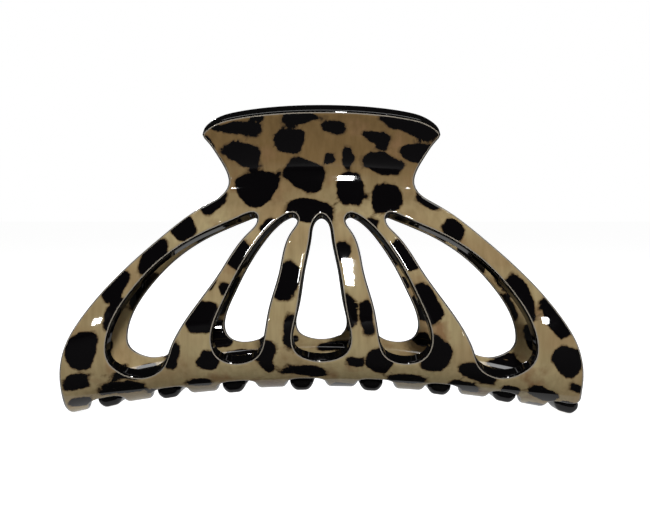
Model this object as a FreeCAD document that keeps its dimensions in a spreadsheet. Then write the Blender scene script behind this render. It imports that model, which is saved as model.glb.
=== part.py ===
"""Hair claw clip: two identical jaws, turned half a turn from each other about
the vertical axis, on one hinge pin with a torsion spring.

Each jaw is a flat blank cut from a three-ply sheet (a thick core between two thin
patterned faces) and then formed. So the blank is drawn flat, in x along the clip
and v down the sheet, and every point of it is carried to its formed place by
formed(). Frame: X along the clip, Z up, the front jaw towards -Y, the origin on
the ground under the middle of the clip. Millimetres.
"""
import FreeCAD
import Part
import Sketcher
import os
from math import acos, atan2, cos, hypot, pi, radians, sin, sqrt, tan

from BOPTools import SplitAPI

Vector = FreeCAD.Vector
doc = FreeCAD.newDocument("claw_clip")

# ---------------------------------------------------------------- dimensions
sheet = doc.addObject("Spreadsheet::Sheet", "Dimensions")
DIMENSIONS = [
    ("sheet_thickness", 3.1, "whole sheet: core and both patterned plies"),
    ("ply_thickness", 0.25, "one patterned ply"),
    ("tab_radius", 22.0, "outward curl of the finger tab"),
    ("tab_angle", 34.0, "lean of the tab's top edge"),
    ("neck_radius", 10.0, "hollow curve below the neck"),
    ("neck_angle", 34.0, "slope where the hollow turns into the shoulder"),
    ("shoulder_radius", 14.0, "round shoulder above the slots"),
    ("belly_radius", 75.0, "long curve of the belly"),
    ("belly_angle", 17.0, "slope at the top of the belly"),
    ("heel_radius", 13.2, "curve that turns the belly under"),
    ("heel_offset", 7.1, "heel centre, from the clip's mid-plane"),
    ("tooth_bend", 150.0, "slight droop of the teeth towards their tips"),
    ("tooth_reach", 9.5, "how far the middle teeth pass the mid-plane"),
    ("reach_loss", 0.55, "how much shorter the other teeth are, per millimetre of bow"),
    ("bow_radius", 150.0, "bow of the jaw along the clip"),
    ("bow_tilt", 42.0, "tilt of the plane the bow lies in"),
    ("half_length", 54.3, "half the clip's length"),
    ("tooth_root_width", 7.4, "tooth width at the root"),
    ("tooth_tip_width", 4.6, "tooth width near the tip"),
    ("gap_root", 58.6, "how far down the sheet the gaps between teeth start"),
    ("gap_corner", 2.0, "rounding of the corners at the teeth's roots"),
    ("tip_corner", 1.9, "rounding of the corners at the teeth's tips"),
    ("hinge_height", 49.0, "hinge axis above the ground"),
    ("pin_diameter", 2.0, "hinge pin"),
    ("pin_clearance", 0.04, "radial running clearance of the pin in the ears"),
    ("pin_head_diameter", 3.4, "rolled head at each end of the pin"),
    ("pin_head_thickness", 0.9, "thickness of each head"),
    ("ear_radius", 3.4, "round end of a hinge ear"),
    ("ear_thickness", 2.4, "hinge ear along the pin"),
    ("ear_inner_station", 8.4, "middle of the inner ear, from the clip's middle"),
    ("ear_outer_station", 11.2, "middle of the outer ear, from the clip's middle"),
    ("ear_foot", 6.2, "half height of the ear's foot"),
    ("ear_foot_offset", 15.0, "ear's foot before trimming, from the mid-plane"),
    ("wire_diameter", 1.2, "spring wire"),
    ("coil_radius", 3.0, "mean radius of the spring coil"),
    ("coil_turns", 8.5, "turns of the spring coil"),
    ("coil_pitch", 1.3, "coil advance per turn"),
    ("leg_rise", 9.0, "height of the spring legs' ends above the hinge"),
]
for row, (alias, value, note) in enumerate(DIMENSIONS, start=1):
    sheet.set("A%d" % row, str(value))
    sheet.setAlias("A%d" % row, alias)
    sheet.set("B%d" % row, note)
doc.recompute()


def size(alias):
    """One driving dimension, read from the sheet."""
    return float(sheet.get(alias))


# ---------------------------------------------------------------- the flat blank
# Half of the blank's upper edge, from the middle of the tab round to the end of
# the clip, as (x, v). The other half mirrors it.
UPPER_EDGE = [(0.0, 0.0), (10.6, 0.2), (18.0, 0.75), (22.3, 1.9), (24.35, 3.9), (23.4, 5.5),
              (21.4, 8.6), (19.6, 11.9), (19.15, 14.4), (19.9, 15.9), (23.1, 17.9), (30.3, 22.5),
              (41.5, 30.7), (50.1, 38.8), (53.0, 43.1), (54.2, 47.7), (54.35, 50.4), (54.3, 53.0)]

# The slots, as (x, v): the middle one, and the two on one side of it.
MIDDLE_SLOT = [(0.0, 22.2), (1.3, 23.3), (2.2, 26.8), (3.7, 34.8), (5.1, 43.6),
               (5.75, 47.4), (4.9, 50.4), (2.6, 52.0), (0.0, 52.5)]
INNER_SLOT = [(5.4, 22.1), (8.4, 23.0), (12.4, 27.0), (16.4, 32.9), (20.0, 39.9), (22.1, 47.2),
              (20.6, 50.8), (16.8, 52.4), (13.2, 51.0), (11.8, 47.6), (10.7, 41.4), (8.5, 33.5),
              (6.0, 25.4), (4.9, 23.0)]
OUTER_SLOT = [(13.4, 21.7), (16.5, 22.1), (24.6, 25.15), (32.0, 29.0), (38.9, 35.1), (43.2, 41.6),
              (43.7, 47.6), (40.6, 51.6), (36.2, 53.5), (32.6, 51.8), (30.9, 48.0), (26.5, 40.7),
              (20.4, 32.8), (15.0, 25.5), (13.1, 22.7)]

# Middles of the eight teeth of one jaw, in the order the outline meets them.
TOOTH_MIDDLES = (44.4, 31.8, 18.2, 4.1, -10.3, -24.5, -38.3, -51.8)

# ---------------------------------------------------------------- forming
thickness = size("sheet_thickness")
ply = size("ply_thickness")
tilt = radians(size("bow_tilt"))
bow = size("bow_radius")
heel = size("heel_radius")
heel_offset = size("heel_offset")


def sag(x):
    """How far the bow has fallen back at x."""
    return bow - sqrt(bow * bow - x * x)


# The lowest line of the heel touches the ground at the very ends.
teeth_height = sag(size("half_length")) * sin(tilt)


def profile_arcs():
    """The jaw's outer profile from the tab's top round to the teeth, as arcs.

    Each is (side, centre_w, centre_z, radius, first_angle, last_angle), where w is
    the distance out from the mid-plane and an angle is the elevation of the outward
    normal. side is +1 for a round arc and -1 for a hollow one.
    """
    tab_angle = radians(size("tab_angle"))
    neck_angle = radians(size("neck_angle"))
    belly_angle = radians(size("belly_angle"))
    tab = size("tab_radius")
    neck = size("neck_radius")
    shoulder = size("shoulder_radius")
    belly = size("belly_radius")
    tooth = size("tooth_bend")
    belly_w = heel_offset + heel - belly
    belly_z = teeth_height + heel
    shoulder_w = belly_w + (belly - shoulder) * cos(belly_angle)
    shoulder_z = belly_z + (belly - shoulder) * sin(belly_angle)
    neck_w = shoulder_w + (shoulder + neck) * cos(neck_angle)
    neck_z = shoulder_z + (shoulder + neck) * sin(neck_angle)
    tab_w = neck_w + tab - neck
    return [
        (-1, tab_w, neck_z, tab, -tab_angle, 0.0),
        (-1, neck_w, neck_z, neck, 0.0, neck_angle),
        (1, shoulder_w, shoulder_z, shoulder, neck_angle, belly_angle),
        (1, belly_w, belly_z, belly, belly_angle, 0.0),
        (1, heel_offset, belly_z, heel, 0.0, -pi / 2),
        (-1, heel_offset, teeth_height - tooth, tooth, -pi / 2, -pi / 2 + TOOTH_TURN),
    ]


# Turn of the teeth's arc, well past the end of the longest tooth.
TOOTH_TURN = 0.18
ARCS = profile_arcs()
ARC_LENGTHS = [radius * abs(last - first) for _, _, _, radius, first, last in ARCS]
HEEL_END = sum(ARC_LENGTHS[:-1])


def profile(v):
    """Place (w, z) on the outer profile and the normal's elevation, v down the sheet."""
    for (side, centre_w, centre_z, radius, first, last), length in zip(ARCS, ARC_LENGTHS):
        if v <= length:
            break
        v -= length
    angle = first + (last - first) * v / length
    return centre_w + side * radius * cos(angle), centre_z + side * radius * sin(angle), angle


def formed(x, v, depth):
    """The formed place of the blank's point (x, v), depth below the outer face."""
    w, z, angle = profile(v)
    slope = x / sqrt(bow * bow - x * x)
    normal = Vector(slope * cos(angle - tilt), -cos(angle), sin(angle)).normalize()
    drop = sag(x)
    return Vector(x, drop * cos(tilt) - w, z - drop * sin(tilt)) - normal * depth


def tooth_tip(x):
    """How far down the sheet a tooth at x ends."""
    reach = size("tooth_reach") - sag(x) * size("reach_loss")
    return HEEL_END + heel_offset - sag(x) * cos(tilt) + reach


# ---------------------------------------------------------------- outlines
CURVE_STEP = 1.5


def mirrored(points):
    return [(-x, v) for x, v in points]


def curve_through(points, closed=False):
    """A smooth flat curve through the points."""
    curve = Part.BSplineCurve()
    curve.interpolate([Vector(x, v, 0) for x, v in points], PeriodicFlag=closed)
    return curve


def flat_points(curve):
    """Points along a flat curve, about CURVE_STEP apart, both ends included."""
    count = max(3, int(curve.length() / CURVE_STEP) + 2)
    return [(p.x, p.y) for p in curve.discretize(Number=count)]


def rounded(corners, radii):
    """Flat line and arc pieces round the corners of an open line of points."""
    pieces = []
    start = corners[0]
    for before, corner, after, radius in zip(corners, corners[1:], corners[2:], radii):
        to_before = Vector(before[0] - corner[0], before[1] - corner[1], 0)
        to_after = Vector(after[0] - corner[0], after[1] - corner[1], 0)
        half_turn = to_before.getAngle(to_after) / 2
        to_before.normalize()
        to_after.normalize()
        middle = (to_before + to_after).normalize()
        point = Vector(corner[0], corner[1], 0)
        first = point + to_before * (radius / tan(half_turn))
        last = point + to_after * (radius / tan(half_turn))
        crown = point + middle * (radius / sin(half_turn) - radius)
        pieces.append(Part.LineSegment(Vector(start[0], start[1], 0), first))
        pieces.append(Part.Arc(first, crown, last))
        start = (last.x, last.y)
    end = corners[-1]
    pieces.append(Part.LineSegment(Vector(start[0], start[1], 0), Vector(end[0], end[1], 0)))
    return pieces


def comb():
    """The toothed lower edge from the right end to the left, as flat pieces."""
    root_half = size("tooth_root_width") / 2
    tip_half = size("tooth_tip_width") / 2
    gap = size("gap_root")
    root_corner = size("gap_corner")
    tip_corner = size("tip_corner")
    end = size("half_length")
    corners = [UPPER_EDGE[-1], (end, gap)]
    radii = [3.0]
    for middle in TOOTH_MIDDLES:
        tip = tooth_tip(middle)
        first = [(middle + root_half, gap), (middle + tip_half, tip)]
        last = [(middle - tip_half, tip), (middle - root_half, gap)]
        if middle == TOOTH_MIDDLES[-1]:
            last = [(middle - tip_half, tip)]
        corners += first + last
        radii += [root_corner, tip_corner] + [tip_corner, root_corner][:len(last)]
    corners.append((-UPPER_EDGE[-1][0], UPPER_EDGE[-1][1]))
    return rounded(corners, radii)


def outline():
    """The blank's outline as a closed chain of flat curves."""
    upper = mirrored(UPPER_EDGE[:0:-1]) + UPPER_EDGE
    return [curve_through(upper)] + comb()


def slots():
    """The five slots as closed lists of flat points."""
    middle = MIDDLE_SLOT + mirrored(MIDDLE_SLOT[-2:0:-1])
    return [middle, INNER_SLOT, OUTER_SLOT, mirrored(INNER_SLOT), mirrored(OUTER_SLOT)]


# ---------------------------------------------------------------- surfaces
MARGIN = 1.0


def formed_edge(points, depth, closed=False):
    """The edge through the formed places of flat points."""
    curve = Part.BSplineCurve()
    places = [formed(x, v, depth) for x, v in points]
    if closed:
        curve.interpolate(places[:-1], PeriodicFlag=True)
    else:
        curve.interpolate(places)
    return curve.toShape()


def cut_wall(point_chains, closed=False):
    """The wall that a cut square to the sheet leaves, a little longer than its thickness."""
    faces = []
    for points in point_chains:
        outer = formed_edge(points, -MARGIN, closed)
        inner = formed_edge(points, thickness + MARGIN, closed)
        faces.append(Part.makeRuledSurface(outer, inner))
    return Part.makeShell(faces)


def formed_surface(depth):
    """The whole sheet's surface at one depth, a little larger than the blank."""
    reach = size("half_length") + 3.0
    across = [reach * (2 * i / 24 - 1) for i in range(25)]
    down = [-4.0, -2.0]
    start = 0.0
    for length in ARC_LENGTHS[:-1]:
        count = int(length / 2) + 1
        down += [start + length * i / count for i in range(count)]
        start += length
    tail = tooth_tip(0) + 3.0 - HEEL_END
    down += [HEEL_END + tail * i / 8 for i in range(9)]
    surface = Part.BSplineSurface()
    surface.interpolate([[formed(x, v, depth) for x in across] for v in down])
    return surface.toShape()


def slab(outer_depth, inner_depth):
    """The solid between two depths of the formed sheet, before it is cut."""
    outer_face = formed_surface(outer_depth)
    inner_face = formed_surface(inner_depth)
    sides = [Part.makeRuledSurface(outer, inner)
             for outer, inner in zip(outer_face.Edges, inner_face.Edges)]
    shell = Part.makeShell([outer_face, inner_face] + sides)
    shell.sewShape()
    solid = Part.Solid(shell)
    if solid.Volume < 0:
        solid.reverse()
    return solid


def cut_blank(outer_depth, inner_depth, walls):
    """One layer of the jaw: the piece of its slab inside the outline, less the slots."""
    pieces = SplitAPI.slice(slab(outer_depth, inner_depth), walls, "Split", 0.0)
    on_tab = formed(0, 6, (outer_depth + inner_depth) / 2)
    return next(solid for solid in pieces.Solids if solid.isInside(on_tab, 0.01, False))


# ---------------------------------------------------------------- jaws
# The core carries the glossy black edges; the patterned plies are bonded to its
# two faces. The back jaw is the same three pieces turned half a turn.
HALF_TURN = FreeCAD.Placement(Vector(0, 0, 0), FreeCAD.Rotation(Vector(0, 0, 1), 180))
sub_parts = []


def make_jaws():
    walls = [cut_wall([flat_points(curve) for curve in outline()])]
    for points in slots():
        walls.append(cut_wall([flat_points(curve_through(points, True))], True))
    layers = [
        ("outer_ply", 0.0, ply),
        ("jaw", ply, thickness - ply),
        ("inner_ply", thickness - ply, thickness),
    ]
    for name, outer_depth, inner_depth in layers:
        shape = cut_blank(outer_depth, inner_depth, walls)
        for side, placement in (("front", FreeCAD.Placement()), ("back", HALF_TURN)):
            piece = doc.addObject("Part::Feature", side + "_" + name)
            piece.Shape = shape
            piece.Placement = placement
            piece.Label = side + "_" + name
            sub_parts.append(piece)


# ---------------------------------------------------------------- hinge ears
# Four drilled ears, bonded inside the neck: two to each jaw, set side by side
# with the other jaw's, so that one pin passes through all four.
def make_ear(name, side, station_sign, station):
    """One ear: a padded sketch, trimmed to the formed sheet it is bonded to."""
    body = doc.addObject("PartDesign::Body", name + "_blank")
    sketch = body.newObject("Sketcher::SketchObject", name + "_sketch")
    plane = [item for item in body.Origin.OriginFeatures if item.Role == "YZ_Plane"][0]
    sketch.AttachmentSupport = (plane, [""])
    sketch.MapMode = "FlatFace"

    hinge = size("hinge_height")
    radius = size("ear_radius")
    foot = size("ear_foot")
    foot_out = size("ear_foot_offset")
    reach = hypot(foot_out, foot)
    swing = acos(radius / reach)
    upper = pi - atan2(foot, foot_out) - swing
    lower = 2 * pi - upper
    upper_end = Vector(radius * cos(upper), hinge + radius * sin(upper), 0)
    lower_end = Vector(radius * cos(lower), hinge + radius * sin(lower), 0)
    top = Vector(-foot_out, hinge + foot, 0)
    bottom = Vector(-foot_out, hinge - foot, 0)
    eye = Part.Circle(Vector(0, hinge, 0), Vector(0, 0, 1), radius)
    sketch.addGeometry(Part.ArcOfCircle(eye, lower, upper + 2 * pi), False)
    sketch.addGeometry(Part.LineSegment(upper_end, top), False)
    sketch.addGeometry(Part.LineSegment(top, bottom), False)
    sketch.addGeometry(Part.LineSegment(bottom, lower_end), False)
    sketch.addGeometry(Part.Circle(Vector(0, hinge, 0), Vector(0, 0, 1), 1.0), False)

    rule = Sketcher.Constraint
    sketch.addConstraint([
        rule("Tangent", 0, 2, 1, 1),
        rule("Coincident", 1, 2, 2, 1),
        rule("Coincident", 2, 2, 3, 1),
        rule("Tangent", 3, 2, 0, 1),
        rule("Coincident", 4, 3, 0, 3),
        rule("PointOnObject", 0, 3, -2),
        rule("Vertical", 2),
        rule("Equal", 1, 3),
    ])
    bound = [
        (rule("DistanceY", -1, 1, 0, 3, hinge), "Dimensions.hinge_height"),
        (rule("Radius", 0, radius), "Dimensions.ear_radius"),
        (rule("Radius", 4, 1.0), "Dimensions.pin_diameter / 2 + Dimensions.pin_clearance"),
        (rule("DistanceX", 2, 1, -1, 1, foot_out), "Dimensions.ear_foot_offset"),
        (rule("DistanceY", 2, 2, 2, 1, 2 * foot), "2 * Dimensions.ear_foot"),
    ]
    for constraint, expression in bound:
        index = sketch.addConstraint(constraint)
        sketch.setExpression("Constraints[%d]" % index, expression)
    pad = body.newObject("PartDesign::Pad", name + "_pad")
    pad.Profile = sketch
    pad.Midplane = True
    pad.setExpression("Length", "Dimensions.ear_thickness")
    body.Tip = pad
    body.setExpression("Placement.Base.x", "%d * Dimensions.%s" % (station_sign, station))

    ear = doc.addObject("Part::Cut", name)
    ear.Base = body
    ear.Tool = doc.getObject("formed_sheet")
    ear.Label = name
    if side == "back":
        ear.Placement = HALF_TURN
    sub_parts.append(ear)


# ---------------------------------------------------------------- hinge pin
# A steel pin with a rolled head at each end, along X through all four ears. One
# head sits against the back jaw's outer ear, and the other just clears the front's.
END_PLAY = 0.15


def make_pin():
    along_x = FreeCAD.Rotation(Vector(0, 0, 1), Vector(1, 0, 0))
    ear_face = size("ear_outer_station") + size("ear_thickness") / 2
    head = size("pin_head_thickness")
    spans = [
        ("shaft", "pin_diameter", -ear_face, 2 * ear_face + END_PLAY),
        ("head_left", "pin_head_diameter", -ear_face - head, head),
        ("head_right", "pin_head_diameter", ear_face + END_PLAY, head),
    ]
    cylinders = []
    for name, diameter, start, length in spans:
        cylinder = doc.addObject("Part::Cylinder", "pin_" + name)
        cylinder.setExpression("Radius", "Dimensions.%s / 2" % diameter)
        cylinder.Height = length
        cylinder.Placement = FreeCAD.Placement(Vector(start, 0, size("hinge_height")), along_x)
        cylinders.append(cylinder)
    fused = doc.addObject("Part::MultiFuse", "pin_fused")
    fused.Shapes = cylinders
    doc.recompute()
    rims = []
    for index, edge in enumerate(fused.Shape.Edges, start=1):
        box = edge.BoundBox
        at_end = abs(abs(box.Center.x - END_PLAY / 2) - (ear_face + END_PLAY / 2 + head)) < 0.01
        if at_end and box.XLength < 0.01:
            rims.append((index, 0.6, 0.6))
    pin = doc.addObject("Part::Fillet", "hinge_pin")
    pin.Base = fused
    pin.Edges = rims
    pin.Label = "hinge_pin"
    sub_parts.append(pin)


# ---------------------------------------------------------------- torsion spring
# Round wire coiled about the pin between the inner ears. A straight leg leaves
# each end of the coil, in line with its last turn, and bears on the inner face of
# that end's finger tab.
LEG_GAP = 0.2


def inner_face_offset(height):
    """How far the tab's inner face stands from the mid-plane at a height."""
    steps = [HEEL_END * i / 2000 for i in range(2000)]
    places = [formed(0, v, thickness) for v in steps if v < 25]
    return -min(places, key=lambda place: abs(place.z - height)).y


def make_spring():
    wire = size("wire_diameter") / 2
    coil = size("coil_radius")
    pitch = size("coil_pitch")
    hinge = size("hinge_height")
    rise = size("leg_rise")
    out = inner_face_offset(hinge + rise) - wire - LEG_GAP
    leave = pi - atan2(rise, out) + acos(coil / hypot(out, rise))
    turns = int(size("coil_turns")) + ((pi - 2 * leave) / (2 * pi)) % 1
    half = turns * pitch / 2

    helix = Part.makeHelix(pitch, 2 * half, coil)
    climb = Vector(0, 2 * pi * coil, pitch)
    section = Part.Wire(Part.makeCircle(wire, Vector(coil, 0, 0), climb))
    coil_solid = Part.Wire(helix.Edges).makePipeShell([section], True, True)
    start = Vector(0, cos(leave), sin(leave))
    along = Vector(1, 0, 0)
    turned = FreeCAD.Rotation(start, along.cross(start), along, "ZXY")
    coil_solid.Placement = FreeCAD.Placement(Vector(-half, 0, hinge), turned)

    solids = [coil_solid]
    climb = pitch / (2 * pi * coil) * sqrt(out * out + rise * rise - coil * coil)
    for side in (-1, 1):
        root = Vector(side * half, -side * coil * cos(leave), hinge + coil * sin(leave))
        leg = Vector(side * climb, side * out - root.y, hinge + rise - root.z)
        solids.append(Part.makeCylinder(wire, leg.Length, root, leg))
    spring = doc.addObject("Part::Feature", "torsion_spring")
    spring.Shape = solids[0].multiFuse(solids[1:]).removeSplitter()
    spring.Label = "torsion_spring"
    sub_parts.append(spring)


# ---------------------------------------------------------------- assembly
formed_sheet = doc.addObject("Part::Feature", "formed_sheet")
formed_sheet.Shape = slab(-6.0, thickness)
make_jaws()
for side in ("front", "back"):
    make_ear(side + "_ear_inner", side, -1, "ear_inner_station")
    make_ear(side + "_ear_outer", side, 1, "ear_outer_station")
make_pin()
make_spring()
doc.recompute()

for item in doc.Objects:
    if "Invalid" in item.State or "Error" in item.State:
        raise RuntimeError("%s did not build: %s" % (item.Name, item.State))
for piece in sub_parts:
    if piece.Shape.isNull() or not piece.Shape.isValid():
        raise RuntimeError(piece.Label + " has no valid shape")
    if len(piece.Shape.Solids) != 1:
        raise RuntimeError("%s has %d solids" % (piece.Label, len(piece.Shape.Solids)))

os.makedirs("parts", exist_ok=True)
for piece in sub_parts:
    piece.Shape.exportStep("parts/%s.step" % piece.Label)
    box = piece.Shape.optimalBoundingBox()
    print("%-18s %9.2f mm3  z %.2f to %.2f" % (piece.Label, piece.Shape.Volume, box.ZMin, box.ZMax))
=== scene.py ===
from math import acos, atan2, cos, hypot, pi, radians, sin, sqrt, tan

import bmesh
import bpy
import numpy as np
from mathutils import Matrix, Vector


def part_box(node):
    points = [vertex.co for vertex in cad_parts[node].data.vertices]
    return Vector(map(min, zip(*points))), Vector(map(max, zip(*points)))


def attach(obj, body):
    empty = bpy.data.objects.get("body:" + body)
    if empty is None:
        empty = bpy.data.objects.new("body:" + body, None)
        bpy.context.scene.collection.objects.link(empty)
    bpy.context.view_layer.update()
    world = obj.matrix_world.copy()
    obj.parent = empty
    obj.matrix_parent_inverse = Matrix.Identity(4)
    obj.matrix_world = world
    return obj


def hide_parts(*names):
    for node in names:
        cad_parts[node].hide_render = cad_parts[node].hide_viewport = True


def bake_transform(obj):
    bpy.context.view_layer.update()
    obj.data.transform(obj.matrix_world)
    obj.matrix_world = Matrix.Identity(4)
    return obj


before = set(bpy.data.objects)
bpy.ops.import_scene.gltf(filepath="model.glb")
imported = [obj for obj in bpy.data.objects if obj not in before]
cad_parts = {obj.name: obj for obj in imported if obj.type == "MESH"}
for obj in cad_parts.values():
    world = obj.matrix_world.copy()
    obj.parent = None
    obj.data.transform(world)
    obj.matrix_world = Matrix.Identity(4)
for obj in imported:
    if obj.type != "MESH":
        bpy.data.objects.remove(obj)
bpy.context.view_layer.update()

# ---------------------------------------------------------------------------
# The set: the closed clip stands on a plain white table, with a white card under
# its back half, and a long lens looks at it almost level from the front. A wide lamp
# hangs over it, and small ones near the lens, at both sides and behind light its gloss.
scene = bpy.context.scene

MM = 0.001
LENS_DISTANCE = 0.300
LENS_HEIGHT = 0.0433
LENS = 77.5
LOOK_DOWN = radians(2.07)
SIDE_SHIFT = 0.0054

camera_data = bpy.data.cameras.new("camera")
camera_data.lens = LENS
camera_data.sensor_width = 36.0
camera_data.shift_x = SIDE_SHIFT
camera = bpy.data.objects.new("camera", camera_data)
camera.location = (0.0, -LENS_DISTANCE, LENS_HEIGHT)
camera.rotation_euler = (pi / 2 - LOOK_DOWN, 0.0, 0.0)
scene.collection.objects.link(camera)
scene.camera = camera
scene.view_settings.view_transform = "Standard"


def new_material(name, colour, roughness, coat=0.0):
    """A Principled material, with its node tree and its shader to build on."""
    material = bpy.data.materials.new(name)
    material.use_nodes = True
    shader = material.node_tree.nodes["Principled BSDF"]
    shader.inputs["Base Color"].default_value = (*colour, 1.0)
    shader.inputs["Roughness"].default_value = roughness
    shader.inputs["Specular IOR Level"].default_value = 0.0 if coat else 0.5
    shader.inputs["Coat Weight"].default_value = coat
    shader.inputs["Coat Roughness"].default_value = 0.03
    return material, material.node_tree, shader


def add_object(name, mesh):
    piece = bpy.data.objects.new(name, mesh)
    scene.collection.objects.link(piece)
    return piece


def make_table(name, place, width, depth, felt):
    """A white table top or card. To the eye it is plain bright white; felt is how much
    light the clip gets back from it."""
    bm = bmesh.new()
    bmesh.ops.create_grid(bm, x_segments=1, y_segments=1, size=0.5)
    bmesh.ops.scale(bm, vec=(width, depth, 1.0), verts=bm.verts)
    bmesh.ops.translate(bm, vec=place, verts=bm.verts)
    mesh = bpy.data.meshes.new(name)
    bm.to_mesh(mesh)
    bm.free()
    table = add_object(name, mesh)
    material, tree, shader = new_material(name, (1.0, 1.0, 1.0), 0.9)
    shader.inputs["Specular IOR Level"].default_value = 0.0
    shader.inputs["Emission Color"].default_value = (1.0, 1.0, 1.0, 1.0)
    path = tree.nodes.new("ShaderNodeLightPath")
    glow = tree.nodes.new("ShaderNodeMapRange")
    glow.inputs["To Min"].default_value = felt
    glow.inputs["To Max"].default_value = TABLE_GLOW
    paint = tree.nodes.new("ShaderNodeMix")
    paint.data_type = "RGBA"
    paint.inputs["A"].default_value = (0.08, 0.08, 0.08, 1.0)
    paint.inputs["B"].default_value = (0.5, 0.5, 0.5, 1.0)
    tree.links.new(path.outputs["Is Camera Ray"], glow.inputs["Value"])
    tree.links.new(path.outputs["Is Camera Ray"], paint.inputs["Factor"])
    tree.links.new(glow.outputs["Result"], shader.inputs["Emission Strength"])
    tree.links.new(paint.outputs["Result"], shader.inputs["Base Color"])
    mesh.materials.append(material)


def make_panel(name, place, aim, width, height, power):
    """A soft rectangular lamp at place, pointed at aim."""
    lamp = bpy.data.lights.new(name, "AREA")
    lamp.shape = "RECTANGLE"
    lamp.size = width
    lamp.size_y = height
    lamp.energy = power
    panel = bpy.data.objects.new(name, lamp)
    panel.location = place
    beam = Vector(aim) - Vector(place)
    panel.rotation_euler = beam.to_track_quat("-Z", "Y").to_euler()
    scene.collection.objects.link(panel)


TABLE_GLOW = 0.975
make_table("white_table", (0.0, 0.0, 0.0), 12.0, 12.0, 0.0)
make_table("white_card", (0.0, 0.018, 0.00005), 0.20, 0.056, 0.5)
MIDDLE = (0.0, 0.0, 0.03)
make_panel("overhead", (0.0, 0.0, 0.75), MIDDLE, 0.90, 0.15, 2.4)
make_panel("near_lens", (0.048, -0.60, 0.186), MIDDLE, 0.026, 0.105, 2.4)
for side in (-1, 1):
    name = "left" if side < 0 else "right"
    make_panel(name + "_strip", (side * 0.80, 0.02, 0.10), MIDDLE, 0.12, 0.50, 0.5)
    make_panel(name + "_low", (side * 0.593, -0.725, 0.078), MIDDLE, 0.020, 0.030, 0.14)
    make_panel(name + "_spark", (side * 0.257, -0.77, 0.475), MIDDLE, 0.010, 0.010, 0.10)
make_panel("rear", (-0.22, 0.72, 0.33), MIDDLE, 0.05, 0.10, 1.5)

ROOM_FELT = 0.012
world = bpy.data.worlds.new("room")
world.use_nodes = True
scene.world = world
background = world.node_tree.nodes["Background"]
background.inputs["Color"].default_value = (1.0, 1.0, 1.0, 1.0)
path = world.node_tree.nodes.new("ShaderNodeLightPath")
room = world.node_tree.nodes.new("ShaderNodeMapRange")
room.inputs["To Min"].default_value = ROOM_FELT
world.node_tree.links.new(path.outputs["Is Camera Ray"], room.inputs["Value"])
world.node_tree.links.new(room.outputs["Result"], background.inputs["Strength"])

# ---------------------------------------------------------------------------
# The jaw cores: thick black acetate sheet. A blank with five slots and eight
# teeth is cut flat, its edges are rounded and polished, and it is then formed
# hot. Flat sizes are in millimetres: x along the clip, v down the sheet, and
# depth in from the outer face.
SHEET = 3.1
PLY = 0.25

# The polished edge, as (inset, depth, lean): the ply rolls over softly, then the
# core turns down sharply into the cut wall.
PLY_ROLL = [(0.95, 0.0, 0.0), (0.75, 0.012, radians(8)), (0.56, 0.05, radians(16)),
            (0.40, 0.105, radians(24)), (0.28, 0.17, radians(33))]
CORE_ROLL = [(0.28, 0.17, radians(33)), (0.19, 0.245, radians(47)), (0.10, 0.355, radians(60)),
             (0.03, 0.48, radians(75)), (0.0, 0.62, radians(90))]

BOW = 150.0
TILT = radians(42.0)
HALF_LENGTH = 54.3
HEEL_RADIUS = 13.2
HEEL_OFFSET = 7.1
TOOTH_REACH = 9.5
REACH_LOSS = 0.55
ROOT_HALF = 3.7
TIP_HALF = 2.3
GAP_ROOT = 58.6
GAP_CORNER = 2.0
TIP_CORNER = 1.9
END_CORNER = 3.0
CORNER_STEPS = 6
OUTLINE_STEP = 0.8
SLOT_STEP = 0.6
TOOTH_BEND = 150.0
TOOTH_TURN = 0.18
TOOTH_MIDDLES = (44.4, 31.8, 18.2, 4.1, -10.3, -24.5, -38.3, -51.8)

UPPER_EDGE = [(0.0, 0.0), (10.6, 0.2), (18.0, 0.75), (22.3, 1.9), (24.35, 3.9), (23.4, 5.5),
              (21.4, 8.6), (19.6, 11.9), (19.15, 14.4), (19.9, 15.9), (23.1, 17.9), (30.3, 22.5),
              (41.5, 30.7), (50.1, 38.8), (53.0, 43.1), (54.2, 47.7), (54.35, 50.4), (54.3, 53.0)]
MIDDLE_SLOT = [(0.0, 22.2), (1.3, 23.3), (2.2, 26.8), (3.7, 34.8), (5.1, 43.6),
               (5.75, 47.4), (4.9, 50.4), (2.6, 52.0), (0.0, 52.5)]
INNER_SLOT = [(5.4, 22.1), (8.4, 23.0), (12.4, 27.0), (16.4, 32.9), (20.0, 39.9), (22.1, 47.2),
              (20.6, 50.8), (16.8, 52.4), (13.2, 51.0), (11.8, 47.6), (10.7, 41.4), (8.5, 33.5),
              (6.0, 25.4), (4.9, 23.0)]
OUTER_SLOT = [(13.4, 21.7), (16.5, 22.1), (24.6, 25.15), (32.0, 29.0), (38.9, 35.1), (43.2, 41.6),
              (43.7, 47.6), (40.6, 51.6), (36.2, 53.5), (32.6, 51.8), (30.9, 48.0), (26.5, 40.7),
              (20.4, 32.8), (15.0, 25.5), (13.1, 22.7)]


def sag(x):
    """How far the bow has fallen back at x."""
    return BOW - sqrt(BOW * BOW - x * x)


TEETH_HEIGHT = sag(HALF_LENGTH) * sin(TILT)


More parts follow.
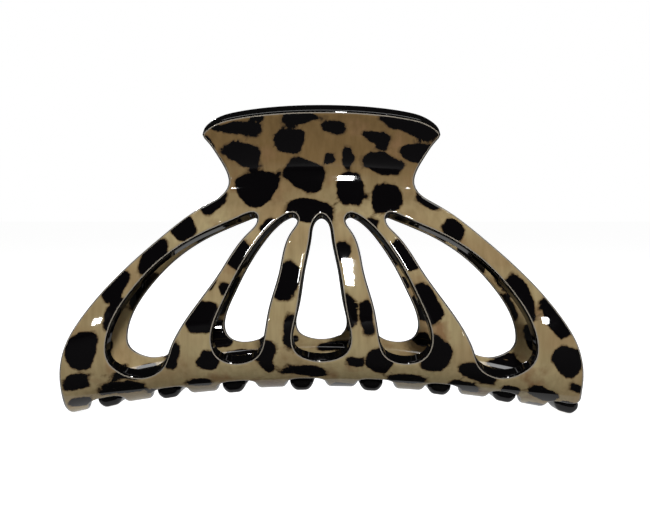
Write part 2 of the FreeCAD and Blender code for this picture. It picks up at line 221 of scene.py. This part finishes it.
def profile_arcs():
    """The outer profile from the tab's top round to the teeth, as arcs: side (+1 round,
    -1 hollow), centre, radius, and the outward normal's elevation at each end."""
    tab_angle, neck_angle, belly_angle = radians(34.0), radians(34.0), radians(17.0)
    tab, neck, shoulder, belly = 22.0, 10.0, 14.0, 75.0
    belly_w = HEEL_OFFSET + HEEL_RADIUS - belly
    belly_z = TEETH_HEIGHT + HEEL_RADIUS
    shoulder_w = belly_w + (belly - shoulder) * cos(belly_angle)
    shoulder_z = belly_z + (belly - shoulder) * sin(belly_angle)
    neck_w = shoulder_w + (shoulder + neck) * cos(neck_angle)
    neck_z = shoulder_z + (shoulder + neck) * sin(neck_angle)
    return [
        (-1, neck_w + tab - neck, neck_z, tab, -tab_angle, 0.0),
        (-1, neck_w, neck_z, neck, 0.0, neck_angle),
        (1, shoulder_w, shoulder_z, shoulder, neck_angle, belly_angle),
        (1, belly_w, belly_z, belly, belly_angle, 0.0),
        (1, HEEL_OFFSET, belly_z, HEEL_RADIUS, 0.0, -pi / 2),
        (-1, HEEL_OFFSET, TEETH_HEIGHT - TOOTH_BEND, TOOTH_BEND, -pi / 2, -pi / 2 + TOOTH_TURN),
    ]


ARCS = profile_arcs()
ARC_LENGTHS = [radius * abs(last - first) for _, _, _, radius, first, last in ARCS]
HEEL_END = sum(ARC_LENGTHS[:-1])


def profile(v):
    """Place (w, z) on the outer profile and its normal's elevation, v down the sheet."""
    for (side, centre_w, centre_z, radius, first, last), length in zip(ARCS, ARC_LENGTHS):
        if v <= length:
            break
        v -= length
    angle = first + (last - first) * v / length
    return centre_w + side * radius * cos(angle), centre_z + side * radius * sin(angle), angle


def formed(x, v, depth, flat_normal):
    """The formed place and normal of a point of the front jaw's blank."""
    w, z, angle = profile(v)
    slope = x / sqrt(BOW * BOW - x * x)
    along = Vector((1.0, slope * cos(TILT), -slope * sin(TILT)))
    down = Vector((0.0, -sin(angle), -cos(angle)))
    out = down.cross(along).normalized()
    drop = sag(x)
    place = Vector((x, drop * cos(TILT) - w, z - drop * sin(TILT))) - out * depth
    size = along.dot(down.cross(out))
    normal = (down.cross(out) * (flat_normal[0] / size) + out.cross(along) * (flat_normal[1] / size)
              - out * flat_normal[2])
    return place * MM, normal.normalized()


def tooth_tip(x):
    """How far down the sheet a tooth at x ends."""
    return HEEL_END + HEEL_OFFSET - sag(x) * (cos(TILT) + REACH_LOSS) + TOOTH_REACH


def smooth_through(points, step, closed):
    """Points about step apart on a cubic spline through the given points."""
    knots = np.array(points + points[:1] if closed else points)
    gaps = np.hypot(*np.diff(knots, axis=0).T)
    last = len(knots) - 1
    system = np.zeros((last + 1, last + 1))
    target = np.zeros((last + 1, 2))
    slopes = np.diff(knots, axis=0) / gaps[:, None]
    for i in range(1, last):
        system[i, i - 1:i + 2] = gaps[i - 1], 2 * (gaps[i - 1] + gaps[i]), gaps[i]
        target[i] = 6 * (slopes[i] - slopes[i - 1])
    if closed:
        system[0, 0], system[0, last] = 1, -1
        system[last, [0, 1]] = 2 * gaps[0], gaps[0]
        system[last, [last - 1, last]] = gaps[-1], 2 * gaps[-1]
        target[last] = 6 * (slopes[0] - slopes[-1])
    else:
        system[0, 0] = system[last, last] = 1
    bend = np.linalg.solve(system, target)
    result = []
    for i, gap in enumerate(gaps):
        count = max(1, round(gap / step))
        for t in np.arange(count) / count * gap:
            rest = gap - t
            point = (bend[i] * rest ** 3 + bend[i + 1] * t ** 3) / (6 * gap)
            point += (knots[i] / gap - bend[i] * gap / 6) * rest
            point += (knots[i + 1] / gap - bend[i + 1] * gap / 6) * t
            result.append(tuple(point))
    return result if closed else result + [tuple(knots[-1])]


def rounded(corners, radii, steps):
    """Points round an open line whose corners are rounded to the radii."""
    result = [corners[0]]
    for before, corner, after, radius in zip(corners, corners[1:], corners[2:], radii):
        corner = Vector(corner)
        to_before = (Vector(before) - corner).normalized()
        to_after = (Vector(after) - corner).normalized()
        half_turn = to_before.angle(to_after) / 2
        centre = corner + (to_before + to_after).normalized() * (radius / sin(half_turn))
        start = (corner + to_before * (radius / tan(half_turn)) - centre).normalized()
        end = (corner + to_after * (radius / tan(half_turn)) - centre).normalized()
        for i in range(steps + 1):
            result.append(tuple(centre + start.slerp(end, i / steps) * radius))
    return result + [corners[-1]]


def mirrored(points):
    return [(-x, v) for x, v in points]


def outline():
    """The blank's outline, all the way round."""
    upper = smooth_through(mirrored(UPPER_EDGE[:0:-1]) + UPPER_EDGE, OUTLINE_STEP, False)
    corners = [UPPER_EDGE[-1], (HALF_LENGTH, GAP_ROOT)]
    radii = [END_CORNER]
    for middle in TOOTH_MIDDLES:
        tip = tooth_tip(middle)
        corners.append((middle + ROOT_HALF, GAP_ROOT))
        corners += [(middle + TIP_HALF, tip), (middle - TIP_HALF, tip)]
        radii += [GAP_CORNER, TIP_CORNER, TIP_CORNER]
        if middle != TOOTH_MIDDLES[-1]:
            corners.append((middle - ROOT_HALF, GAP_ROOT))
            radii.append(GAP_CORNER)
    corners.append((-HALF_LENGTH, UPPER_EDGE[-1][1]))
    return upper[:-1] + rounded(corners, radii, CORNER_STEPS)[:-1]


def slots():
    middle = MIDDLE_SLOT + mirrored(MIDDLE_SLOT[-2:0:-1])
    rings = [middle, INNER_SLOT, OUTER_SLOT, mirrored(INNER_SLOT), mirrored(OUTER_SLOT)]
    return [smooth_through(ring, SLOT_STEP, True) for ring in rings]


def edge_normals(ring, outward):
    """The flat normals of a ring of points, pointing off the sheet's material."""
    points = np.array(ring)
    along = np.roll(points, -1, axis=0) - np.roll(points, 1, axis=0)
    normals = np.stack([along[:, 1], -along[:, 0]], axis=1)
    normals /= np.hypot(*normals.T)[:, None]
    after = np.roll(points, -1, axis=0)
    area = (points[:, 0] * after[:, 1] - after[:, 0] * points[:, 1]).sum()
    return normals if (area > 0) == outward else -normals


RINGS = [(outline(), True)] + [(ring, False) for ring in slots()]
RIM_LEAN = radians(20.0)
TEETH_START = 57.0
TEETH_EASE = 6.0
OUTER_TUMBLE = 2.5
INNER_TUMBLE = 0.7


def tumbled(inset, depth, v):
    """A rim point's inset and depth at v: the teeth are rounded more than the rest, and
    most of all below."""
    growth = min(max((v - TEETH_START) / TEETH_EASE, 0.0), 1.0)
    growth *= OUTER_TUMBLE if depth < SHEET / 2 else INNER_TUMBLE
    seam_inset, seam_depth = CORE_ROLL[0][:2]
    if inset >= seam_inset:
        return inset + seam_inset * growth, depth
    from_face = min(depth, SHEET - depth)
    deeper = seam_depth + (from_face - seam_depth) * (1 + growth)
    return inset * (1 + growth), deeper if depth < SHEET / 2 else SHEET - deeper


def sheet_body(section):
    """A flat bmesh of the blank: section lists (inset, depth, lean) round its edge, from
    the outer face to the inner one. The lean is the edge normal's turn from straight
    out of the outer face, in radians, up to pi at the inner face. The rim layer is 1
    where the edge leans over, and 0 on the faces."""
    bm = bmesh.new()
    flat_normal = bm.verts.layers.float_vector.new("flat_normal")
    rim = bm.verts.layers.float.new("rim")
    caps = {0: [], len(section) - 1: []}
    for ring, outward in RINGS:
        normals = edge_normals(ring, outward)
        before = None
        for index, (inset, depth, lean) in enumerate(section):
            row = []
            for (x, v), (nx, nv) in zip(ring, normals):
                inward, deep = tumbled(inset, depth, v)
                vert = bm.verts.new((x - nx * inward, v - nv * inward, deep))
                vert[flat_normal] = (nx * sin(lean), nv * sin(lean), -cos(lean))
                vert[rim] = float(sin(lean) > sin(RIM_LEAN))
                row.append(vert)
            edges = [bm.edges.new((a, b)) for a, b in zip(row, row[1:] + row[:1])]
            if index in caps:
                caps[index] += edges
            if before:
                bmesh.ops.bridge_loops(bm, edges=before + edges)
            before = edges
    for edges in caps.values():
        bmesh.ops.triangle_fill(bm, use_beauty=True, edges=edges)
    bmesh.ops.recalc_face_normals(bm, faces=bm.faces)
    return bm, flat_normal


GRID_X = 1.3
GRID_V = 1.1


def cut_grid(bm):
    """Cuts the flat body along a grid, so that it can be formed smoothly."""
    columns = int(2 * HALF_LENGTH / GRID_X)
    rows = int(tooth_tip(0.0) / GRID_V)
    cuts = [((-HALF_LENGTH + (i + 0.5) * GRID_X, 0, 0), (1, 0, 0)) for i in range(columns)]
    cuts += [((0, (i + 0.5) * GRID_V, 0), (0, 1, 0)) for i in range(rows)]
    for place, normal in cuts:
        everything = bm.verts[:] + bm.edges[:] + bm.faces[:]
        bmesh.ops.bisect_plane(bm, geom=everything, plane_co=place, plane_no=normal, dist=0.0001)


def form_sheet(bm, flat_normal, name, turned, paint=None):
    """Forms the flat body into a jaw's mesh. The back jaw is the front one turned."""
    turn = -1.0 if turned else 1.0
    places = []
    normals = []
    painted = []
    for vert in bm.verts:
        x, v, depth = vert.co
        if paint:
            painted.append(paint(x, v))
        place, normal = formed(x, v, depth, vert[flat_normal])
        places.append((place.x * turn, place.y * turn, place.z))
        normals.append((normal.x * turn, normal.y * turn, normal.z))
    for vert, place in zip(bm.verts, places):
        vert.co = place
    mesh = bpy.data.meshes.new(name)
    bm.to_mesh(mesh)
    bm.free()
    mesh.shade_smooth()
    mesh.normals_split_custom_set_from_vertices(normals)
    if paint:
        attribute = mesh.attributes.new("spot", "FLOAT", "POINT")
        attribute.data.foreach_set("value", painted)
    return mesh


def black_gloss():
    """Polished black acetate: a faint ripple in the gloss."""
    material, tree, shader = new_material("black_acetate", (0.003, 0.0027, 0.003), 0.16, 1.0)
    nodes, links = tree.nodes, tree.links
    place = nodes.new("ShaderNodeTexCoord")
    ripple = nodes.new("ShaderNodeTexNoise")
    ripple.inputs["Scale"].default_value = 260.0
    ripple.inputs["Detail"].default_value = 2.0
    bump = nodes.new("ShaderNodeBump")
    bump.inputs["Strength"].default_value = 0.06
    bump.inputs["Distance"].default_value = 0.0004
    links.new(place.outputs["Object"], ripple.inputs["Vector"])
    links.new(ripple.outputs["Fac"], bump.inputs["Height"])
    links.new(bump.outputs["Normal"], shader.inputs["Normal"])
    links.new(bump.outputs["Normal"], shader.inputs["Coat Normal"])
    return material


def mirrored_section(section):
    """The rim of the inner face, as the outer face's rim turned over."""
    return [(inset, SHEET - depth, pi - lean) for inset, depth, lean in reversed(section)]


BLACK = black_gloss()
PLY_BED = [(CORE_ROLL[0][0], PLY, 0.0)] + CORE_ROLL
CORE_EDGE = PLY_BED + mirrored_section(PLY_BED)
BODY = {"front": "front_half", "back": "back_half"}
for side in ("front", "back"):
    flat, layer = sheet_body(CORE_EDGE)
    cut_grid(flat)
    mesh = form_sheet(flat, layer, side + "_jaw_core", side == "back")
    core = add_object(side + "_jaw_core", mesh)
    mesh.materials.append(BLACK)
    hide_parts(side + "_jaw")
    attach(core, BODY[side])

# ---------------------------------------------------------------------------
# The patterned plies: a tan sheet with dark brown-black spots under a clear
# gloss, bonded into a shallow bed on each face of a core. Each spot is given by
# its middle on the flat blank, its length and width in millimetres, how far its
# length is turned down from the x axis, in degrees, and how much narrower it is
# towards the end that its length points to.
TAB_SPOTS = [
    (-17.5, 3.0, 10.5, 3.0, 8, -0.4), (-13.0, 1.1, 2.4, 1.6, 0, 0.0), (-4.0, 1.5, 8.0, 2.8, 0, 0.5),
    (-6.8, 6.2, 6.4, 5.2, 12, -0.2), (-16.5, 8.5, 9.0, 4.6, 20, -0.3), (2.5, 3.6, 5.0, 2.8, 0, 0.0),
    (1.7, 10.2, 2.0, 2.0, 0, 0.0), (5.4, 9.5, 2.5, 4.6, -5, 0.0), (11.3, 5.7, 5.4, 3.2, 20, -0.4),
    (18.0, 2.6, 13.0, 3.6, 15, -0.2), (19.2, 8.2, 7.6, 4.2, 5, -0.5), (12.6, 10.8, 8.8, 4.4, 12, 0.0),
    (-3.4, 13.4, 8.8, 6.2, 25, -0.1), (-13.2, 16.4, 7.8, 8.2, 90, 0.45), (5.8, 16.5, 5.6, 7.4, 0, 0.0),
    (13.4, 18.0, 6.0, 6.8, 0, 0.2), (-2.3, 21.4, 11.0, 5.4, 12, -0.1), (-23.4, 5.6, 2.2, 4.0, -35, 0.0),
    (-20.6, 10.6, 1.6, 5.0, -25, 0.0),
]
SHOULDER_SPOTS = [
    (-22.2, 18.5, 6.0, 4.0, -35, 0.3), (21.6, 17.9, 5.8, 2.8, 32, 0.3), (-28.0, 23.2, 5.0, 5.4, -30, 0.0),
    (-34.2, 28.8, 5.2, 8.4, 30, 0.0), (-42.2, 33.0, 4.8, 7.0, 42, 0.0), (-10.4, 24.4, 3.8, 2.6, -45, 0.0),
    (10.2, 24.2, 2.8, 3.2, 20, 0.0), (26.8, 23.8, 5.0, 4.2, 25, 0.0), (32.7, 30.2, 2.2, 1.6, 0, 0.0),
    (39.4, 36.4, 7.6, 9.4, -26, -0.2), (48.2, 38.4, 5.4, 8.4, -40, 0.0),
]
RIB_SPOTS = [
    (-16.8, 29.8, 6.0, 5.6, -50, 0.0), (-22.4, 35.6, 2.0, 2.8, 25, 0.0), (-19.4, 36.9, 2.6, 2.8, 0, 0.0),
    (-23.8, 42.1, 7.2, 6.6, 10, 0.0), (-6.9, 35.6, 5.0, 8.0, 15, 0.0), (-6.4, 46.4, 3.0, 7.6, 5, 0.0),
    (4.2, 30.0, 3.2, 4.4, 5, 0.0), (5.4, 41.6, 2.8, 7.0, -12, 0.0), (9.0, 42.9, 2.6, 6.2, -8, 0.0),
    (17.8, 29.4, 6.2, 7.4, -40, 0.0), (21.2, 39.6, 4.8, 9.2, -25, 0.0), (-41.8, 39.4, 5.0, 7.2, 28, 0.0),
]
BELLY_SPOTS = [
    (-49.4, 44.8, 7.0, 7.8, 20, -0.2), (-50.6, 51.7, 6.2, 4.0, 0, 0.0), (-50.6, 57.6, 5.4, 3.6, 8, 0.0),
    (-41.0, 55.5, 10.0, 4.0, 12, 0.2), (-35.2, 58.4, 2.0, 1.6, 0, 0.0), (-40.1, 52.4, 7.6, 2.2, 15, 0.0),
    (-30.2, 49.0, 3.0, 6.0, 10, 0.0), (-25.2, 57.0, 6.6, 3.0, 5, 0.0), (-22.9, 51.2, 4.6, 4.6, 30, 0.0),
    (-11.4, 50.0, 4.6, 5.0, 20, 0.0), (-10.8, 53.6, 2.4, 3.2, -20, 0.0), (-3.2, 55.2, 9.4, 3.2, 5, 0.0),
    (6.7, 52.9, 3.2, 2.4, 10, 0.0), (11.8, 52.2, 5.4, 6.0, 20, 0.0), (23.5, 50.0, 5.8, 8.6, 15, 0.2),
    (17.6, 57.0, 8.2, 3.4, -5, 0.0), (31.8, 53.2, 8.2, 4.2, 25, 0.0), (29.6, 58.0, 7.0, 3.6, 12, 0.0),
    (39.0, 57.2, 4.0, 3.2, 0, 0.0), (50.4, 46.7, 6.0, 6.6, 20, -0.2), (52.9, 52.6, 3.2, 2.6, 0, 0.0),
    (46.2, 56.4, 6.6, 4.6, 20, 0.0), (51.6, 58.4, 3.8, 2.6, 0, 0.0),
]
UNDERSIDE_SPOTS = [
    (-46.0, 62.6, 5.6, 4.0, 20, 0.0), (-33.6, 63.8, 6.4, 3.8, -15, 0.0), (-17.2, 62.4, 5.8, 4.4, 10, 0.0),
    (-8.2, 66.8, 5.0, 3.4, -30, 0.0), (4.8, 62.6, 6.0, 4.6, 15, 0.0), (15.4, 65.8, 5.4, 3.6, 25, 0.0),
    (23.4, 62.8, 4.6, 4.0, 0, 0.0), (35.0, 64.4, 6.2, 4.2, -20, 0.0), (45.6, 62.6, 5.0, 3.4, 10, 0.0),
]
# Every tooth's end also gets a dark spot, so that the tooth ends come out dark.
TIP_SPOT = (8.0, 9.0, 0, 0.0)
SPOTS = TAB_SPOTS + SHOULDER_SPOTS + RIB_SPOTS + BELLY_SPOTS + UNDERSIDE_SPOTS
SPOTS += [(middle, tooth_tip(middle), *TIP_SPOT) for middle in TOOTH_MIDDLES]
CORNERS = 2.9  # how square the spots are: 2 would make them ellipses
FAR_OFF = 5.0


def spot_distance(x, v):
    """Distance from the edge of the nearest spot, negative inside it, in millimetres."""
    nearest = FAR_OFF
    for middle_x, middle_v, long, wide, turn, taper in SPOTS:
        dx, dv = x - middle_x, v - middle_v
        if max(abs(dx), abs(dv)) > long + wide:
            continue
        c, s = cos(radians(turn)), sin(radians(turn))
        along = (dx * c + dv * s) / (long / 2)
        narrowed = 1.0 - taper * min(max(along, -1.0), 1.0)
        across = (dv * c - dx * s) / (wide / 2 * narrowed)
        radius = (abs(along) ** CORNERS + abs(across) ** CORNERS) ** (1 / CORNERS)
        nearest = min(nearest, (radius - 1.0) * min(long, wide) / 2)
    return nearest


def spotted_gloss():
    """Tan with mottled browns and fine grain, a darker brown top that is partly the tab's own tone and
    partly painted shade, dark spots with ragged edges, a pale painted highlight along the rolled-over
    edge of the ply, and a clear gloss over all."""
    material, tree, shader = new_material("spotted_acetate", (0.33, 0.26, 0.15), 0.30, 1.0)
    nodes, links = tree.nodes, tree.links
    place = nodes.new("ShaderNodeTexCoord")

    def noise(scale, detail, stretch=None):
        """A noise over the piece, in waves per metre, drawn out if stretch is given."""
        texture = nodes.new("ShaderNodeTexNoise")
        texture.inputs["Scale"].default_value = scale
        texture.inputs["Detail"].default_value = detail
        source = place.outputs["Object"]
        if stretch:
            mapping = nodes.new("ShaderNodeMapping")
            mapping.inputs["Scale"].default_value = stretch
            links.new(source, mapping.inputs["Vector"])
            source = mapping.outputs["Vector"]
        links.new(source, texture.inputs["Vector"])
        return texture.outputs["Fac"]

    def ramp(factor, low, low_colour, high, high_colour):
        """A colour that runs from one to another between two values of factor."""
        blend = nodes.new("ShaderNodeValToRGB")
        blend.color_ramp.elements[0].position = low
        blend.color_ramp.elements[0].color = (*low_colour, 1.0)
        blend.color_ramp.elements[1].position = high
        blend.color_ramp.elements[1].color = (*high_colour, 1.0)
        links.new(factor, blend.inputs["Fac"])
        return blend.outputs["Color"]

    def spread(value, low, high):
        """A value stretched so that low becomes 0 and high becomes 1."""
        reach = nodes.new("ShaderNodeMapRange")
        reach.inputs["From Min"].default_value = low
        reach.inputs["From Max"].default_value = high
        links.new(value, reach.inputs["Value"])
        return reach.outputs["Result"]

    def laid_over(factor, under, over, way="MIX"):
        """Colour over on colour under, by factor, a socket or a plain number. Either colour
        may be a plain one."""
        layer = nodes.new("ShaderNodeMix")
        layer.data_type = "RGBA"
        layer.blend_type = way
        for socket, colour in (("A", under), ("B", over)):
            if isinstance(colour, tuple):
                layer.inputs[socket].default_value = (*colour, 1.0)
            else:
                links.new(colour, layer.inputs[socket])
        if isinstance(factor, float):
            layer.inputs["Factor"].default_value = factor
        else:
            links.new(factor, layer.inputs["Factor"])
        return layer.outputs["Result"]

    def attribute(name):
        """A value that the mesh carries."""
        reader = nodes.new("ShaderNodeAttribute")
        reader.attribute_name = name
        return reader.outputs["Fac"]

    def scaled_sum(value, factor, rest):
        """value times factor, plus rest."""
        add = nodes.new("ShaderNodeMath")
        add.operation = "MULTIPLY_ADD"
        links.new(value, add.inputs[0])
        add.inputs[1].default_value = factor
        links.new(rest, add.inputs[2])
        return add.outputs["Value"]

    edge = scaled_sum(noise(290.0, 1.0), 1.5, attribute("spot"))
    edge = scaled_sum(noise(1300.0, 2.0), 0.5, edge)
    mottled = ramp(noise(70.0, 3.0), 0.36, (0.37, 0.265, 0.135), 0.60, (0.46, 0.37, 0.20))
    streaks = noise(900.0, 3.0, (1.0, 1.0, 0.12))
    grain = ramp(streaks, 0.30, (0.86, 0.84, 0.80), 0.66, (1.06, 1.05, 1.04))
    rust = spread(noise(150.0, 4.0), 0.56, 0.72)
    # The top of the clip, by height, is laid over with a darker brown: partly the tab's own browner tone,
    # and partly painted shade where the tab faces down.
    height = nodes.new("ShaderNodeSeparateXYZ")
    links.new(place.outputs["Object"], height.inputs["Vector"])
    tab = spread(height.outputs["Z"], 0.042, 0.054)
    browned_and_shaded = laid_over(tab, mottled, (0.235, 0.15, 0.062))
    browned_and_shaded = laid_over(rust, browned_and_shaded, (0.29, 0.175, 0.085))
    browned_and_shaded = laid_over(1.0, browned_and_shaded, grain, "MULTIPLY")
    fringed = laid_over(spread(edge, 1.25, 0.90), browned_and_shaded, (0.12, 0.075, 0.035))
    spots = laid_over(spread(edge, 0.98, 0.84), fringed, (0.003, 0.0025, 0.003))
    # The rolled-over rim of the ply is painted pale: a painted highlight where the gloss on the rounded
    # edge catches the light.
    painted_rim_highlight = laid_over(spread(attribute("rim"), 0.35, 0.65), spots, (0.36, 0.32, 0.26))
    links.new(painted_rim_highlight, shader.inputs["Base Color"])

    bump = nodes.new("ShaderNodeBump")
    bump.inputs["Strength"].default_value = 0.06
    bump.inputs["Distance"].default_value = 0.0005
    links.new(noise(170.0, 2.0), bump.inputs["Height"])
    links.new(bump.outputs["Normal"], shader.inputs["Coat Normal"])
    return material


SPOTTED = spotted_gloss()
PLY_EDGE = PLY_ROLL + [(PLY_ROLL[-1][0], PLY, pi)]
PLY_FACES = {"outer_ply": PLY_EDGE, "inner_ply": mirrored_section(PLY_EDGE)}
for side in ("front", "back"):
    for face, section in PLY_FACES.items():
        name = side + "_" + face
        flat, layer = sheet_body(section)
        cut_grid(flat)
        mesh = form_sheet(flat, layer, name + "_sheet", side == "back", spot_distance)
        plate = add_object(name + "_sheet", mesh)
        mesh.materials.append(SPOTTED)
        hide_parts(name)
        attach(plate, BODY[side])

# ---------------------------------------------------------------------------
# The hinge ears: four small black blocks, drilled for the pin and cemented inside
# the necks, two to a jaw and side by side with the other jaw's. Their corners are
# eased by tumbling.
EAR_EASE = 0.25 * MM


def eased_copy(node, name):
    """A merged copy of a part with its long edges eased."""
    bm = bmesh.new()
    bm.from_mesh(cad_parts[node].data)
    bmesh.ops.remove_doubles(bm, verts=bm.verts, dist=0.002 * MM)
    bmesh.ops.dissolve_limit(bm, angle_limit=radians(1.0), verts=bm.verts, edges=bm.edges)
    sharp = [edge for edge in bm.edges if edge.calc_face_angle(0.0) > radians(40)]
    bmesh.ops.bevel(bm, geom=sharp, offset=EAR_EASE, segments=2, profile=0.5, affect="EDGES",
                    material=-1, clamp_overlap=True)
    mesh = bpy.data.meshes.new(name)
    bm.to_mesh(mesh)
    bm.free()
    mesh.shade_smooth()
    mesh.set_sharp_from_angle(angle=radians(35))
    return mesh


for side in ("front", "back"):
    for place in ("inner", "outer"):
        name = side + "_ear_" + place
        ear = add_object(name + "_block", eased_copy(name, name + "_block"))
        ear.data.materials.append(BLACK)
        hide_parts(name)
        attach(ear, BODY[side])

# ---------------------------------------------------------------------------
# The hinge pin: bright drawn steel wire, its ends rolled into low domed heads that
# keep it in the ears.
PIN_RADIUS = 1.0
# Each head's outline, as (radius, distance out from the head's foot).
HEAD_DOME = [(1.7, 0.0), (1.7, 0.28), (1.58, 0.52), (1.28, 0.72), (0.8, 0.85), (0.0, 0.9)]
HEAD_HEIGHT = HEAD_DOME[-1][1]


def bright_steel():
    """Drawn steel: fine lines along the wire in the gloss, and a slight warm tarnish."""
    material, tree, shader = new_material("drawn_steel", (0.50, 0.49, 0.47), 0.26)
    shader.inputs["Metallic"].default_value = 1.0
    nodes, links = tree.nodes, tree.links
    place = nodes.new("ShaderNodeTexCoord")
    stretch = nodes.new("ShaderNodeMapping")
    stretch.inputs["Scale"].default_value = (0.08, 1.0, 1.0)
    lines = nodes.new("ShaderNodeTexNoise")
    lines.inputs["Scale"].default_value = 4000.0
    wear = nodes.new("ShaderNodeMapRange")
    wear.inputs["To Min"].default_value = 0.18
    wear.inputs["To Max"].default_value = 0.36
    tarnish = nodes.new("ShaderNodeTexNoise")
    tarnish.inputs["Scale"].default_value = 500.0
    tone = nodes.new("ShaderNodeValToRGB")
    tone.color_ramp.elements[0].position = 0.35
    tone.color_ramp.elements[0].color = (0.40, 0.37, 0.33, 1.0)
    tone.color_ramp.elements[1].position = 0.65
    tone.color_ramp.elements[1].color = (0.56, 0.55, 0.54, 1.0)
    links.new(place.outputs["Object"], stretch.inputs["Vector"])
    links.new(stretch.outputs["Vector"], lines.inputs["Vector"])
    links.new(lines.outputs["Fac"], wear.inputs["Value"])
    links.new(wear.outputs["Result"], shader.inputs["Roughness"])
    links.new(place.outputs["Object"], tarnish.inputs["Vector"])
    links.new(tarnish.outputs["Fac"], tone.inputs["Fac"])
    links.new(tone.outputs["Color"], shader.inputs["Base Color"])
    return material


STEEL = bright_steel()
pin_low, pin_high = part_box("hinge_pin")
hinge_height = (pin_low.z + pin_high.z) / 2
left_head, right_head = pin_low.x / MM + HEAD_HEIGHT, pin_high.x / MM - HEAD_HEIGHT
line = [(left_head - out, radius) for radius, out in reversed(HEAD_DOME)]
line += [(left_head, PIN_RADIUS), (right_head, PIN_RADIUS)]
line += [(right_head + out, radius) for radius, out in HEAD_DOME]
bm = bmesh.new()
verts = [bm.verts.new((x * MM, 0.0, hinge_height + radius * MM)) for x, radius in line]
edges = [bm.edges.new(pair) for pair in zip(verts, verts[1:])]
bmesh.ops.spin(bm, geom=verts + edges, cent=(0, 0, hinge_height), axis=(1, 0, 0), angle=2 * pi,
               steps=40, use_merge=True)
bmesh.ops.remove_doubles(bm, verts=bm.verts, dist=0.001 * MM)
bmesh.ops.recalc_face_normals(bm, faces=bm.faces)
mesh = bpy.data.meshes.new("hinge_pin_rolled")
bm.to_mesh(mesh)
bm.free()
mesh.shade_smooth()
mesh.set_sharp_from_angle(angle=radians(50))
pin = add_object("hinge_pin_rolled", mesh)
mesh.materials.append(STEEL)
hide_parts("hinge_pin")
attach(pin, "back_half")

# ---------------------------------------------------------------------------
# The torsion spring: hard steel wire wound on the pin between the inner ears. A
# straight leg runs from each end of the coil up to the inside of a finger tab, the
# left one to the front jaw and the right one to the back jaw.
WIRE = 1.2
COIL_RADIUS = 3.0
COIL_PITCH = 1.3
WHOLE_TURNS = 8
LEG_RISE = 9.0
LEG_MIDDLE = 0.6
END_EASE = 0.2
TURN_STEPS = 24

spring_low, spring_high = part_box("torsion_spring")
leg_out = spring_high.y / MM - WIRE / 2
leave = pi - atan2(LEG_RISE, leg_out) + acos(COIL_RADIUS / hypot(leg_out, LEG_RISE))
turns = WHOLE_TURNS + ((pi - 2 * leave) / (2 * pi)) % 1
half_coil = turns * COIL_PITCH / 2
steps = int(turns * TURN_STEPS)
climb = COIL_PITCH / (2 * pi * COIL_RADIUS) * sqrt(leg_out ** 2 + LEG_RISE ** 2 - COIL_RADIUS ** 2)
leg_end = (half_coil + climb, leg_out, LEG_RISE)
leg_middle = (half_coil + climb * LEG_MIDDLE,
              leg_out * LEG_MIDDLE - COIL_RADIUS * cos(leave) * (1 - LEG_MIDDLE),
              LEG_RISE * LEG_MIDDLE + COIL_RADIUS * sin(leave) * (1 - LEG_MIDDLE))
route = [(-x, -y, z) for x, y, z in (leg_end, leg_middle)]
for i in range(steps + 1):
    angle = leave + 2 * pi * turns * i / steps
    x = half_coil * (2 * i / steps - 1)
    route.append((x, COIL_RADIUS * cos(angle), COIL_RADIUS * sin(angle)))
route += [leg_middle, leg_end]
curve = bpy.data.curves.new("wire_route", "CURVE")
curve.dimensions = "3D"
spline = curve.splines.new("NURBS")
spline.points.add(len(route) - 1)
for point, (x, y, z) in zip(spline.points, route):
    point.co = (x * MM, y * MM, hinge_height + z * MM, 1.0)
spline.order_u = 3
spline.use_endpoint_u = True
spline.resolution_u = 3
curve.bevel_depth = WIRE / 2 * MM
curve.bevel_resolution = 5
curve.use_fill_caps = True
mesh = bpy.data.meshes.new_from_object(bpy.data.objects.new("wire_route", curve))
mesh.name = "torsion_spring_wire"
bm = bmesh.new()
bm.from_mesh(mesh)
bmesh.ops.remove_doubles(bm, verts=bm.verts, dist=0.001 * MM)
rims = [edge for edge in bm.edges if edge.calc_face_angle(0.0) > radians(60)]
bmesh.ops.bevel(bm, geom=rims, offset=END_EASE * MM, segments=3, profile=0.5, affect="EDGES",
                material=-1, clamp_overlap=True)
bmesh.ops.recalc_face_normals(bm, faces=bm.faces)
bm.to_mesh(mesh)
bm.free()
mesh.materials.clear()
mesh.materials.append(STEEL)
mesh.shade_smooth()
spring = add_object("torsion_spring_wire", mesh)
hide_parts("torsion_spring")
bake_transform(spring)
